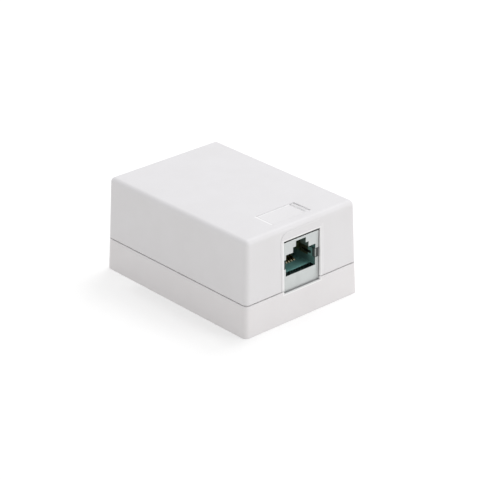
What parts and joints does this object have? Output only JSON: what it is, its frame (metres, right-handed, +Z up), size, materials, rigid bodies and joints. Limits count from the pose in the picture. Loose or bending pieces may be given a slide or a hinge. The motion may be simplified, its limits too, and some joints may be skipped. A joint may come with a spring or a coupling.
{
  "type": "surface mount jack box",
  "caption": "Small drafted two-part plastic box with a shielded eight-contact jack in its front, a lift-off cover, a label plate and a rear cable entry.",
  "frame": {"origin": "middle of the base's underside", "axes": "+Z up out of the base, -Y out of the jack's plug opening, +Y towards the cable entry, X across the width"},
  "size_m": [0.045, 0.063, 0.0301],
  "materials": {
    "white_plastic": "fine satin moulding, white",
    "plated_sheet": "nickel-plated spring sheet, satin",
    "teal_plastic": "moulded dark teal",
    "gold_wire": "gold-plated spring wire",
    "circuit_board": "green solder mask",
    "grey_plastic": "dark grey moulding",
    "tin_blade": "tin-plated bronze strip",
    "clear_white_plastic": "milky moulding"
  },
  "bodies": {
    "base_body": {"base": "white_plastic", "jack_shell": "plated_sheet", "jack_insert": "teal_plastic", "contact_1": "gold_wire", "contact_2": "gold_wire", "contact_3": "gold_wire", "contact_4": "gold_wire", "contact_5": "gold_wire", "contact_6": "gold_wire", "contact_7": "gold_wire", "contact_8": "gold_wire", "jack_board": "circuit_board", "idc_block": "grey_plastic", "idc_blade_1": "tin_blade", "idc_blade_2": "tin_blade", "idc_blade_3": "tin_blade", "idc_blade_4": "tin_blade", "idc_blade_5": "tin_blade", "idc_blade_6": "tin_blade", "idc_blade_7": "tin_blade", "idc_blade_8": "tin_blade"},
    "cover_body": {"cover": "white_plastic"},
    "label_body": {"label_plate": "white_plastic"},
    "rear_cap_body": {"wire_cap": "clear_white_plastic", "rear_shield": "plated_sheet"}
  },
  "joints": [
    {"name": "cover_lift", "type": "slide", "parent": "base_body", "child": "cover_body", "axis": [0, 0, 1], "range_m": [0, 0.032]},
    {"name": "label_release", "type": "slide", "parent": "cover_body", "child": "label_body", "axis": [0, 0, 1], "range_m": [0, 0.012]},
    {"name": "rear_cap_pull", "type": "slide", "parent": "base_body", "child": "rear_cap_body", "axis": [0, 1, 0], "range_m": [0, 0.012]}
  ]
}
